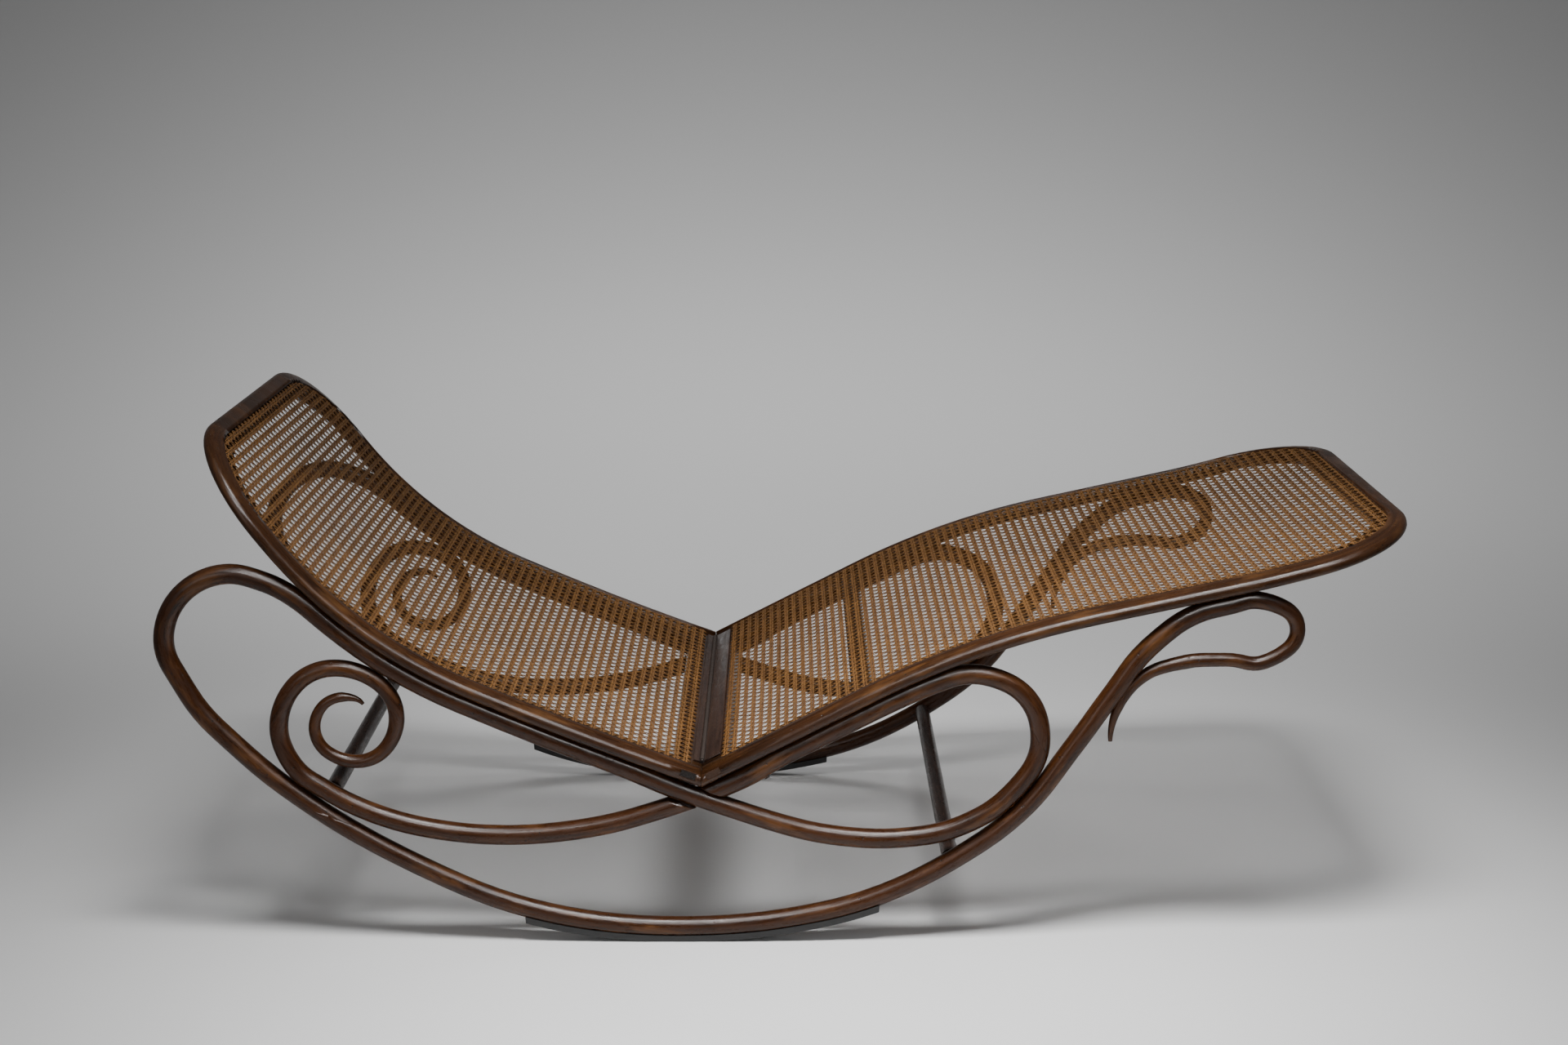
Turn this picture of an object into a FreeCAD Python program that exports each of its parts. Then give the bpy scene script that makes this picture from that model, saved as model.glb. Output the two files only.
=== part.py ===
import FreeCAD, Part
import math
import os

from FreeCAD import Vector

# Bentwood rocking chaise, millimetres. +X points to the foot end, +Z is up and the
# floor is Z = 0. The sitter's right side is -Y and the left side is +Y.

# Overall layout
rod_plane = 332.0            # from the middle of the chaise to the middle of each side's rods
rod_radius = 14.0
clearance = 0.3              # air between two curved pieces that touch on the real chaise
hinge_x = -121.6             # the crease between seat back and leg frame

# Caned frames: section of the bent rail and run of its middle line
rail_width = 46.0
rail_depth = 24.0
rail_low_round = 8.0         # rounding of the rail's lower outer edge
rail_top_round = 9.0         # rounding of its upper outer edge
rail_top_drop = 3.0          # that rounding's centre lies this far under the middle line
rail_inner_round = 3.0
rail_crown = 3.2             # the rail's top stands this far above the cane's ledge
crown_point = (8.2, 8.1)     # a point on the crowned top, from the middle of the section
rail_middle = 327.0          # from the middle of the chaise to the middle of a side rail
crease_z = 245.2             # height of the rails' middle line at the crease
crease_gap = 1.6             # air between the mitred ends of the two frames
leg_slope = 27.5             # degrees, rising to the foot end
leg_run = [("line", 130.0), ("line", 132.0), ("bend", 1260.0, -2.6), ("bend", 1260.0, -12.4),
           ("line", 210.0), ("bend", 1500.0, 3.0), ("line", 175.0)]
leg_corner = 135.0           # radius of the rail's middle line at the foot corners
back_slope = 20.0            # degrees, rising to the head end
back_run = [("bend", 5000.0, -1.6), ("bend", 5000.0, -2.4), ("bend", 660.0, -19.5),
            ("bend", 660.0, -9.5), ("line", 172.0)]
back_corner = 132.0          # radius of the rail's middle line at the head corners

# Cane panels, cross rails and the slat under the leg cane
cane_thickness = 1.6
cane_margin = 22.0           # how far the cane lies on the rail's inner edge
cross_width = 43.0
cross_depth = 19.0
cross_recess = 3.0           # the cross rails' tops lie this far under the side rails' tops
tenon_width = 22.0
tenon_depth = 9.0
slat_station = 238.0         # along the leg frame from the crease
slat_width = 28.0
slat_depth = 8.0
slat_drop = 3.0              # the slat's top lies this far under the cane's ledge
cross_bevel = 1.5

# Hinge between the two cross rails
pin_radius = 1.5
knuckle_radius = 3.0
pin_clearance = 0.05
hinge_z = 255.8
hinge_length = 600.0
knuckle_count = 9
leaf_thickness = 1.2
leaf_drop = 17.0
knuckle_gap = 0.4
pin_bevel = 0.4
leaf_screw_head = 2.6
leaf_screw_radius = 1.3
leaf_screw_length = 12.0
leaf_screw_level = 0.62      # share of the leaf's drop

# Stretchers and wear strips
stretcher_radius = 12.0
tenon_radius = 8.0
tenon_length = 12.0
fit_play = 0.15              # play of a tenon in its mortise
mortise_spare = 0.5          # a blind mortise is this much deeper than its tenon
strip_thickness = 5.0
strip_width = 24.0
strip_rise = 4.0             # how far a strip comes up round the runner
strip_bevel = 6.0            # slant of its ends, between the two heights below
strip_levels = (-5.0, 90.0)
right_strip = (-375.0, 130.0)
left_strip = (-435.0, 70.0)

# Screws
screw_radius = 2.5
screw_head_radius = 5.0
screw_head = 3.0
screw_grip = 14.0            # how far a screw goes into the second piece
screw_play = 0.1
screw_stand = 1.6            # how far a round head stands out of the rod

# Joints in the wood
joint_gap = 0.2
scarf_slant = 14.0           # degrees between a rod and its long glued scarf
splice_slant = 35.0
lap_ease = 2.0               # extra width of the half-lap where two bent rods cross
rail_overrun = 25.0          # extra rail past the crease, mitred off
tenon_station = 8.0          # from the crease to a cross rail's tenon, along the frame
cane_start = 16.0            # from the crease to the cane's edge, along the frame
cane_seat = 6.3              # height of the cane's ledge above the rail's middle line
scarf_reach = 110.0          # half the length of the saw cut for the scarf
splice_reach = 60.0
lap_reach = 70.0
wide = 800.0                 # larger than any piece, for the blocks that cut one to length

# Runs of the bent rods in the plane of one side, each point at the middle of the wood.
# The runner starts at the tip of the toe curl, and the scroll ends in the head end's curl.
back_carried = (1, 3)        # the back run's pieces that lie on the first rod
leg_carried = (1, 3)         # the leg run's pieces that lie on the scroll rod
toe_points = [(446, 296), (455, 345), (487, 389), (546, 411), (600, 414), (654, 411),
              (697, 457), (641, 499), (600, 491.5), (560, 480.5), (493, 430),
              (441, 357)]
toe_radii = [3.0, 7.0, 8.5, 10.0, 9.7, 10.2, 10.6, 12.4, 13.2, 13.7, 14.0, 14.0]
runner_points = [(404, 301), (321, 189), (228, 118), (112, 60), (-10, 30)]
bottom_point = (-158, 19)
heel_run = [(-368, 47), (-545, 125)]
scarf_point = (-657, 195)
loop_points = [(-752, 274), (-828, 364), (-857, 448), (-829, 507), (-768, 536), (-713, 524)]
crossing_point = (-127, 209)
knee_points = [(-44, 183), (60, 157), (150, 152), (232, 167), (301, 209)]
splice_point = (349, 294)
knot_points = [(330, 358), (272, 391)]
scroll_points = [(-78, 231), (-127, 209), (-212, 183), (-296, 165), (-381, 157), (-465, 161),
                 (-566, 184), (-638.7, 219.5), (-688.7, 259.5), (-706, 322), (-626, 402), (-543, 324),
                 (-601, 266), (-657, 314), (-617, 360), (-588, 350)]
scroll_crossing = 4          # the scroll run's arc that starts at the crossing
scroll_radii = [2.5, 7.0, 8.3, 9.5, 11.0, 12.0, 13.0, 13.5, 13.5, 14.0]
leg_stretcher_point = (228, 118)
back_stretcher_point = (-638.7, 219.5)
strip_search = (-560.0, 260.0, 150.0)
frame_screws = [(79.6, 32.7, False), (281.0, 26.3, False), (774.0, 26.6, True)]


def unit(v):
    length = math.hypot(v[0], v[1])
    return (v[0] / length, v[1] / length)


def heading(angle):
    return (math.cos(math.radians(angle)), math.sin(math.radians(angle)))


def arc_middle(start, corner, end):
    """Middle of the arc that leaves start and reaches end along the lines to corner."""
    chord = ((start[0] + end[0]) / 2, (start[1] + end[1]) / 2)
    half = math.hypot(end[0] - start[0], end[1] - start[1]) / 2
    rise = math.hypot(corner[0] - chord[0], corner[1] - chord[1])
    if rise < 1e-9:
        return chord
    bulge = half * math.tan(math.atan2(rise, half) / 2) / rise
    return (chord[0] + (corner[0] - chord[0]) * bulge, chord[1] + (corner[1] - chord[1]) * bulge)


def biarc(p, tp, q, tq):
    """Two tangent arcs from p to q that start along tp and end along tq."""
    v = (q[0] - p[0], q[1] - p[1])
    t = (tp[0] + tq[0], tp[1] + tq[1])
    along = v[0] * t[0] + v[1] * t[1]
    square = v[0] ** 2 + v[1] ** 2
    bend = 2 * (1 - tp[0] * tq[0] - tp[1] * tq[1])
    if bend < 1e-9:
        d = square / (2 * along)
    else:
        d = (math.sqrt(along ** 2 + bend * square) - along) / bend
    c1 = (p[0] + d * tp[0], p[1] + d * tp[1])
    c2 = (q[0] - d * tq[0], q[1] - d * tq[1])
    joint = ((c1[0] + c2[0]) / 2, (c1[1] + c2[1]) / 2)
    return [(p, arc_middle(p, c1, joint), joint), (joint, arc_middle(joint, c2, q), q)]


def smooth_run(points, first=None, last=None):
    """Tangent arcs through hand-picked points, two for each span.

    At each point the run has the direction of the circle through its neighbours."""
    chords = [(b[0] - a[0], b[1] - a[1]) for a, b in zip(points, points[1:])]
    angles = [math.atan2(c[1], c[0]) for c in chords]
    lengths = [math.hypot(c[0], c[1]) for c in chords]
    turns = []
    for a, b in zip(angles, angles[1:]):
        turns.append(math.atan2(math.sin(b - a), math.cos(b - a)))
    tangents = []
    for i in range(len(points)):
        if i == 0:
            angle = angles[0] - turns[0] / 2
        elif i == len(points) - 1:
            angle = angles[-1] + turns[-1] / 2
        else:
            share = lengths[i - 1] / (lengths[i - 1] + lengths[i])
            angle = angles[i - 1] + turns[i - 1] * share
        tangents.append((math.cos(angle), math.sin(angle)))
    if first:
        tangents[0] = first
    if last:
        tangents[-1] = last
    arcs = []
    for i in range(len(chords)):
        arcs += biarc(points[i], tangents[i], points[i + 1], tangents[i + 1])
    return arcs


def frame_run(start, angle, run, offset=0.0, upper=1):
    """Lines and bends of a frame's side rail as arcs, moved by offset towards its upper side.

    upper is 1 where the upper side is left of the run, and -1 where it is right."""
    arcs = []
    point = start

    def moved(p, a):
        n = heading(a + 90 * upper)
        return (p[0] + offset * n[0], p[1] + offset * n[1])

    for step in run:
        if step[0] == "line":
            d = heading(angle)
            middle = (point[0] + d[0] * step[1] / 2, point[1] + d[1] * step[1] / 2)
            end = (point[0] + d[0] * step[1], point[1] + d[1] * step[1])
            arcs.append((moved(point, angle), moved(middle, angle), moved(end, angle)))
            point = end
            continue
        radius, sweep = step[1], step[2]
        side = 1 if sweep > 0 else -1
        to_centre = heading(angle + 90 * side)
        centre = (point[0] + radius * to_centre[0], point[1] + radius * to_centre[1])
        stops = []
        for part in (0.5, 1.0):
            out = heading(angle + sweep * part - 90 * side)
            stops.append((centre[0] + radius * out[0], centre[1] + radius * out[1]))
        arcs.append((moved(point, angle), moved(stops[0], angle + sweep / 2),
                     moved(stops[1], angle + sweep)))
        point = stops[1]
        angle += sweep
    return arcs, point, angle


def at(p, y):
    return Vector(p[0], y, p[1])


def arc_edge(a, m, b):
    """Arc through three points in space, or a line where they lie in line."""
    chord = b - a
    away = (m - a).cross(chord).Length / chord.Length
    if away < 1e-6:
        return Part.LineSegment(a, b).toShape()
    return Part.Arc(a, m, b).toShape()


def wire_of(arcs, y):
    return Part.Wire([arc_edge(at(a, y), at(m, y), at(b, y)) for a, m, b in arcs])


def arc_directions(arc):
    """Unit directions at the start and the end of an arc through three points."""
    a, m, b = arc
    chord = (b[0] - a[0], b[1] - a[1])
    first = (m[0] - a[0], m[1] - a[1])
    angle = math.atan2(chord[1], chord[0])
    half = 2 * (math.atan2(first[1], first[0]) - angle)
    half = math.atan2(math.sin(half), math.cos(half))
    return ((math.cos(angle + half), math.sin(angle + half)),
            (math.cos(angle - half), math.sin(angle - half)))


def circle_at(p, direction, y, radius):
    """Circle square to a run, always starting at its left side so that a loft doesn't twist."""
    circle = Part.makeCircle(radius)
    sideways = Vector(0, 1, 0)
    along = Vector(direction[0], 0, direction[1])
    turn = FreeCAD.Rotation(sideways, along.cross(sideways), along, "ZXY")
    circle.Placement = FreeCAD.Placement(at(p, y), turn)
    return Part.Wire(circle)


def rod_piece(arc, y, r0, r1):
    """One arc of a rod, as a piece of a torus or, where its radius changes, as a sweep."""
    start, end = arc_directions(arc)
    a, m, b = arc
    first = circle_at(a, start, y, r0)
    bend = angle_between(start, end)
    if abs(r0 - r1) > 1e-6:
        shell = Part.BRepOffsetAPI.MakePipeShell(wire_of([arc], y))
        shell.add(first)
        shell.add(circle_at(b, end, y, r1))
        shell.build()
        shell.makeSolid()
        return shell.shape()
    if abs(bend) < 1e-4:
        return Part.Face(first).extrude(at(b, 0) - at(a, 0))
    chord = math.hypot(b[0] - a[0], b[1] - a[1])
    radius = chord / 2 / math.sin(bend / 2)
    centre = (a[0] - start[1] * radius, a[1] + start[0] * radius)
    return Part.Face(first).revolve(at(centre, y), Vector(0, -1, 0), math.degrees(bend))


def angle_between(first, last):
    """Angle from one unit direction to the next, positive to the left."""
    turn = first[0] * last[1] - first[1] * last[0]
    return math.atan2(turn, first[0] * last[0] + first[1] * last[1])


def bent_rod(arcs, y, radius, curl=()):
    """Round rod along arcs. curl lists the radii of its first span's joints, two arcs a span."""
    faces = []
    for i, arc in enumerate(arcs):
        r0 = r1 = radius
        if i < 2 * (len(curl) - 1):
            a, b = curl[i // 2], curl[i // 2 + 1]
            r0 = a + (b - a) * 0.5 * (i % 2)
            r1 = a + (b - a) * 0.5 * (i % 2 + 1)
        piece = rod_piece(arc, y, r0, r1)
        planes = []
        for face in piece.Faces:
            if isinstance(face.Surface, Part.Plane):
                planes.append(face)
            else:
                faces.append(face)
        if i == 0:
            faces.append(nearest(planes, at(arc[0], y)))
        if i == len(arcs) - 1:
            faces.append(nearest(planes, at(arc[2], y)))
    skin = Part.Compound(faces)
    skin.sewShape(0.001)
    solid = Part.Solid(skin.Shells[0])
    if solid.Volume < 0:
        solid.reverse()
    return solid


def nearest(faces, point):
    return min(faces, key=lambda face: (face.CenterOfMass - point).Length)


def reverse(arcs):
    return [(b, m, a) for a, m, b in reversed(arcs)]


def moved_aside(arcs, distance):
    """The same arcs, moved by distance to the left of their direction."""
    result = []
    for a, m, b in arcs:
        first, last = arc_directions((a, m, b))
        middle = unit((b[0] - a[0], b[1] - a[1]))
        points = []
        for p, d in ((a, first), (m, middle), (b, last)):
            points.append((p[0] - d[1] * distance, p[1] + d[0] * distance))
        result.append(tuple(points))
    return result


def turned_box(p, angle, low, high):
    """Box between two corners in a frame at p whose X axis is tilted up by angle."""
    box = Part.makeBox(high[0] - low[0], high[1] - low[1], high[2] - low[2], Vector(*low))
    box.rotate(Vector(0, 0, 0), Vector(0, 1, 0), -angle)
    box.translate(at(p, 0))
    return box


def turned_rod(p, direction, y, radius, length):
    """Cylinder from p along a direction in the plane of one side."""
    return Part.makeCylinder(radius, length, at(p, y), Vector(direction[0], 0, direction[1]))


def across(p, y0, y1, radius):
    return Part.makeCylinder(radius, y1 - y0, at(p, y0), Vector(0, 1, 0))


def degrees_of(direction):
    return math.degrees(math.atan2(direction[1], direction[0]))


class SideRods:
    """The runs of one side's bent rods, in the plane of that side."""

    def __init__(self):
        drop = rail_depth / 2 + clearance + rod_radius
        back, _, _ = frame_run((hinge_x, crease_z), 180 - back_slope, back_run, -drop, -1)
        leg, _, _ = frame_run((hinge_x, crease_z), leg_slope, leg_run, -drop, 1)
        under_back = reverse(back[back_carried[0]:back_carried[1]])
        under_leg = reverse(leg[leg_carried[0]:leg_carried[1]])
        toe = smooth_run(toe_points + runner_points + [bottom_point], last=(-1.0, 0.0))
        into_back = arc_directions(under_back[0])[0]
        heel_points = [bottom_point] + heel_run + [scarf_point] + loop_points
        heel = smooth_run(heel_points + [under_back[0][0]], first=(-1.0, 0.0), last=into_back)
        out_of_back = arc_directions(under_back[-1])[1]
        into_leg = arc_directions(under_leg[0])[0]
        knee_run = [under_back[-1][2], crossing_point] + knee_points + [splice_point]
        knee_run += knot_points + [under_leg[0][0]]
        knee = smooth_run(knee_run, first=out_of_back, last=into_leg)
        out_of_leg = arc_directions(under_leg[-1])[1]
        scroll = smooth_run([under_leg[-1][2]] + scroll_points, first=out_of_leg)
        self.toe = toe
        scarf = 2 * (len(heel_run) + 1)
        splice = 2 * (len(knee_points) + 2)
        self.runner = toe + heel[:scarf + 1]
        self.back_arm = heel[scarf - 1:] + under_back + knee[:splice + 1]
        self.scroll_arm = knee[splice - 1:] + under_leg + scroll
        self.scarf_angle = degrees_of(arc_directions(heel[scarf])[0])
        self.splice_angle = degrees_of(arc_directions(knee[splice])[0])
        self.crossing_angle = degrees_of(arc_directions(knee[2])[0])
        self.scroll_angle = degrees_of(arc_directions(scroll[scroll_crossing])[0])


def cut_end(rod, p, angle, y, reach, side):
    """Cut a rod's end along a slanted plane through p; side 1 takes the left of angle off."""
    far = 4 * rod_radius
    low, high = (-joint_gap / 2, far) if side > 0 else (-far, joint_gap / 2)
    return rod.cut(turned_box(p, angle, (-reach, y - far, low), (reach, y + far, high)))


def lap(rod, p, angle, y, towards):
    """Take half the rod's thickness off, on the side towards, where another rod crosses."""
    half = rod_radius + lap_ease
    far = 2 * rod_radius
    low, high = (-joint_gap / 2, far) if towards > 0 else (-far, joint_gap / 2)
    block = turned_box(p, angle, (-lap_reach, y + low, -half), (lap_reach, y + high, half))
    return rod.cut(block)


def rail_section(start, direction, upper, y, outward):
    """Closed outline of a frame rail, square to the run at start.

    It is rounded outside, crowned on top, and stepped down inside for the cane's edge."""
    half = rail_width / 2
    deep = rail_depth / 2
    step = -half + cane_margin
    seat = cane_seat
    n = heading(degrees_of(direction) + 90 * upper)

    def place(w, h):
        return Vector(start[0] + n[0] * h, y + outward * w, start[1] + n[1] * h)

    def line(a, b):
        return Part.LineSegment(place(*a), place(*b)).toShape()

    def arc(a, m, b):
        return Part.Arc(place(*a), place(*m), place(*b)).toShape()

    turn = math.sqrt(0.5)
    inner = rail_inner_round
    low_centre = (half - rail_low_round, -deep + rail_low_round)
    top_centre = (half - rail_top_round, -rail_top_drop)
    crown = cane_seat + rail_crown

    def round_point(turned):
        d = heading(turned)
        return (top_centre[0] + rail_top_round * d[0], top_centre[1] + rail_top_round * d[1])

    edges = [
        line((-half + inner, -deep), (low_centre[0], -deep)),
        arc((low_centre[0], -deep),
            (low_centre[0] + rail_low_round * turn, low_centre[1] - rail_low_round * turn),
            (half, low_centre[1])),
        line((half, low_centre[1]), (half, top_centre[1])),
        arc((half, top_centre[1]), round_point(35), round_point(70)),
        arc(round_point(70), crown_point, (step, crown)),
        line((step, crown), (step, seat)),
        line((step, seat), (-half, seat)),
        line((-half, seat), (-half, -deep + inner)),
        arc((-half, -deep + inner), (-half + inner * (1 - turn), -deep + inner * (1 - turn)),
            (-half + inner, -deep)),
    ]
    return Part.Wire(edges)


def rail_path(slope, run, upper, corner):
    """Middle line of a bent rail: up one side, round the end and down the other side."""
    start = (hinge_x, crease_z)
    angle = slope if upper > 0 else 180 - slope
    straight = run[-1][1] - rail_width / 2 - corner
    side, end, end_angle = frame_run(start, angle, run[:-1] + [("line", straight)], 0, upper)
    d = heading(angle)
    tail = (start[0] - d[0] * rail_overrun, start[1] - d[1] * rail_overrun)
    middle = ((tail[0] + start[0]) / 2, (tail[1] + start[1]) / 2)
    side = [(tail, middle, start)] + side
    d = heading(end_angle)
    turn = math.sqrt(0.5)

    def bent(share, inward, sign):
        p = (end[0] + d[0] * corner * share, end[1] + d[1] * corner * share)
        return at(p, sign * (rail_middle - corner * inward))

    edges = []
    for a, m, b in side:
        edges.append(arc_edge(at(a, -rail_middle), at(m, -rail_middle), at(b, -rail_middle)))
    edges.append(arc_edge(bent(0, 0, -1), bent(turn, 1 - turn, -1), bent(1, 1, -1)))
    edges.append(Part.LineSegment(bent(1, 1, -1), bent(1, 1, 1)).toShape())
    edges.append(arc_edge(bent(1, 1, 1), bent(turn, 1 - turn, 1), bent(0, 0, 1)))
    for a, m, b in reverse(side):
        edges.append(arc_edge(at(a, rail_middle), at(m, rail_middle), at(b, rail_middle)))
    return Part.Wire(edges), tail, d, end


def frame_bow(slope, run, upper, corner):
    """Rail of one caned frame, bent from one length and mitred at the crease."""
    wire, tail, _, _ = rail_path(slope, run, upper, corner)
    angle = slope if upper > 0 else 180 - slope
    section = rail_section(tail, heading(angle), upper, -rail_middle, -1)
    shell = Part.BRepOffsetAPI.MakePipeShell(wire)
    shell.add(section)
    shell.build()
    shell.makeSolid()
    bow = shell.shape()
    edge = crease_gap / 2
    far = 2 * rail_overrun
    low, high = (-far, edge) if upper > 0 else (-edge, far)
    return bow.cut(crease_block(hinge_x + low, hinge_x + high))


def crease_block(x0, x1):
    """Block across the whole chaise between two X, for sawing pieces off at the crease."""
    tall = wide / 4
    return Part.makeBox(x1 - x0, wide, tall, Vector(x0, -wide / 2, crease_z - tall / 2))


def frame_block(slope, upper, outline, y0, y1):
    """Prism across the chaise from an outline of (along the frame, above its middle line)."""
    along = heading(slope if upper > 0 else 180 - slope)
    above = heading((slope if upper > 0 else 180 - slope) + 90 * upper)
    points = []
    for s, n in outline:
        points.append(Vector(hinge_x + along[0] * s + above[0] * n, y0,
                             crease_z + along[1] * s + above[1] * n))
    face = Part.Face(Part.makePolygon(points + [points[0]]))
    return face.extrude(Vector(0, y1 - y0, 0))


def cross_rail(slope, upper):
    """Cross rail beside the crease, with a ledge for the cane and a through tenon at each end."""
    half = rail_middle - rail_width / 2 - joint_gap
    top = rail_depth / 2 - cross_recess
    low = top - cross_depth
    start = -rail_overrun
    outline = [(start, low), (cross_width, low), (cross_width, cane_seat),
               (cane_start, cane_seat), (cane_start, top - cross_bevel),
               (cane_start - cross_bevel, top), (start, top)]
    body = frame_block(slope, upper, outline, -half, half)
    face = knuckle_radius + clearance
    far = 2 * rail_overrun
    if upper > 0:
        body = body.cut(crease_block(hinge_x - far, hinge_x + face))
    else:
        body = body.cut(crease_block(hinge_x - face, hinge_x + far))
    reach = rail_middle + rail_width / 2 - 1.0
    return body.fuse(tenons(slope, upper, reach, 0.0)).removeSplitter()


def tenons(slope, upper, reach, play):
    """Both tenons of a cross rail, or their mortises where play is more than nothing."""
    half = tenon_depth / 2 + play
    outline = [(tenon_station - play, -half), (tenon_station + tenon_width + play, -half),
               (tenon_station + tenon_width + play, half), (tenon_station - play, half)]
    inner = rail_middle - rail_width / 2 - 5.0
    right = frame_block(slope, upper, outline, -reach, -inner)
    left = frame_block(slope, upper, outline, inner, reach)
    return right.fuse(left)


def cane_panel(slope, run, upper, corner):
    """Woven cane panel as one thin sheet that follows its frame."""
    start = (hinge_x, crease_z)
    angle = slope if upper > 0 else 180 - slope
    reach = rail_width - cane_margin + clearance
    short = run[:-1] + [("line", run[-1][1] - reach)]
    low, end, end_angle = frame_run(start, angle, short, cane_seat + clearance, upper)
    top, _, _ = frame_run(start, angle, short, cane_seat + clearance + cane_thickness, upper)
    width = rail_middle + rail_width / 2 - reach
    edges = [arc_edge(at(a, -width), at(m, -width), at(b, -width)) for a, m, b in low]
    edges.append(Part.LineSegment(at(low[-1][2], -width), at(top[-1][2], -width)).toShape())
    for a, m, b in reverse(top):
        edges.append(arc_edge(at(a, -width), at(m, -width), at(b, -width)))
    edges.append(Part.LineSegment(at(top[0][0], -width), at(low[0][0], -width)).toShape())
    sheet = Part.Face(Part.Wire(edges)).extrude(Vector(0, 2 * width, 0))
    start_edge = cane_start + clearance
    deep = 2 * rail_depth
    outline = [(-rail_overrun, -deep), (start_edge, -deep), (start_edge, deep),
               (-rail_overrun, deep)]
    sheet = sheet.cut(frame_block(slope, upper, outline, -wide / 2, wide / 2))
    radius = corner - rail_width / 2 + cane_margin - clearance
    d = heading(end_angle)
    centre = (end[0] - d[0] * radius, end[1] - d[1] * radius)
    for sign in (-1, 1):
        y = sign * (width - radius)
        low_y, high_y = (y, width + rail_depth) if sign > 0 else (-width - rail_depth, y)
        waste = turned_box(centre, end_angle, (0, low_y, -rail_depth),
                           (radius + rail_depth, high_y, rail_depth))
        n = heading(end_angle + 90)
        foot = (centre[0] - n[0] * rail_depth, centre[1] - n[1] * rail_depth)
        waste = waste.cut(turned_rod(foot, n, y, radius, 2 * rail_depth))
        sheet = sheet.cut(waste)
    return sheet


def slat_outline(play):
    top = cane_seat - slat_drop + play
    return [(slat_station - play, top - slat_depth - 2 * play),
            (slat_station + slat_width + play, top - slat_depth - 2 * play),
            (slat_station + slat_width + play, top), (slat_station - play, top)]


def leg_slat():
    """Flat slat under the cane that keeps the leg frame's sides apart."""
    reach = rail_middle - rail_width / 2 + tenon_length - mortise_spare
    return frame_block(leg_slope, 1, slat_outline(0.0), -reach, reach)


def hinge_leaf(upper):
    """One leaf of the long hinge, with its own knuckles bored for the pin."""
    inner = knuckle_radius - leaf_thickness
    low_x = inner if upper > 0 else -knuckle_radius
    half = hinge_length / 2
    notch = knuckle_radius + 2 * clearance
    leaf = Part.makeBox(leaf_thickness, hinge_length, leaf_drop - notch,
                        Vector(low_x, -half, -leaf_drop))
    pitch = hinge_length / knuckle_count
    first = 0 if upper > 0 else 1
    for k in range(first, knuckle_count, 2):
        y0 = -half + k * pitch + knuckle_gap / 2
        long = pitch - knuckle_gap
        web = Part.makeBox(leaf_thickness, long, notch, Vector(low_x, y0, -notch))
        barrel = Part.makeCylinder(knuckle_radius, long, Vector(0, y0, 0), Vector(0, 1, 0))
        leaf = leaf.fuse(web).fuse(barrel)
    bore = Part.makeCylinder(pin_radius + pin_clearance, hinge_length + 2,
                             Vector(0, -half - 1, 0), Vector(0, 1, 0))
    leaf = leaf.cut(bore)
    leaf.translate(Vector(hinge_x, 0, hinge_z))
    return leaf.removeSplitter()


def hinge_pin():
    half = hinge_length / 2 + 1.0
    pin = Part.makeCylinder(pin_radius, 2 * half, Vector(hinge_x, -half, hinge_z), Vector(0, 1, 0))
    return pin.makeChamfer(pin_bevel, [pin.Edges[0], pin.Edges[2]])


def leaf_screw_places():
    pitch = hinge_length / knuckle_count
    return [-hinge_length / 2 + pitch * (k + 0.5) for k in range(0, knuckle_count, 2)]


def leaf_screw(y, upper, play):
    """Countersunk screw through a hinge leaf into its cross rail."""
    side = 1 if upper > 0 else -1
    inner = knuckle_radius - leaf_thickness
    place = Vector(hinge_x + side * inner, y, hinge_z - leaf_drop * leaf_screw_level)
    into = Vector(side, 0, 0)
    radius = leaf_screw_radius + play
    head = Part.makeCone(leaf_screw_head + play, radius, leaf_thickness, place, into)
    shank = Part.makeCylinder(radius, leaf_screw_length + play, place, into)
    return head.fuse(shank)


def leaf_screws(upper, play):
    return [leaf_screw(y, upper, play) for y in leaf_screw_places()]


def stretcher(p, reach):
    """Turned stretcher with a round tenon at each end."""
    shoulder = reach - rod_radius - clearance
    body = across(p, -shoulder, shoulder, stretcher_radius)
    tenon = across(p, -shoulder - tenon_length, shoulder + tenon_length, tenon_radius)
    return body.fuse(tenon)


def blind_hole(p, y):
    """Round mortise from the inner side of a rod, left closed at the outer side."""
    side = 1 if y > 0 else -1
    inner = y - side * (rod_radius + 1.0)
    bottom = y - side * (rod_radius + clearance - tenon_length - mortise_spare)
    return across(p, min(inner, bottom), max(inner, bottom), tenon_radius + fit_play)


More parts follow.
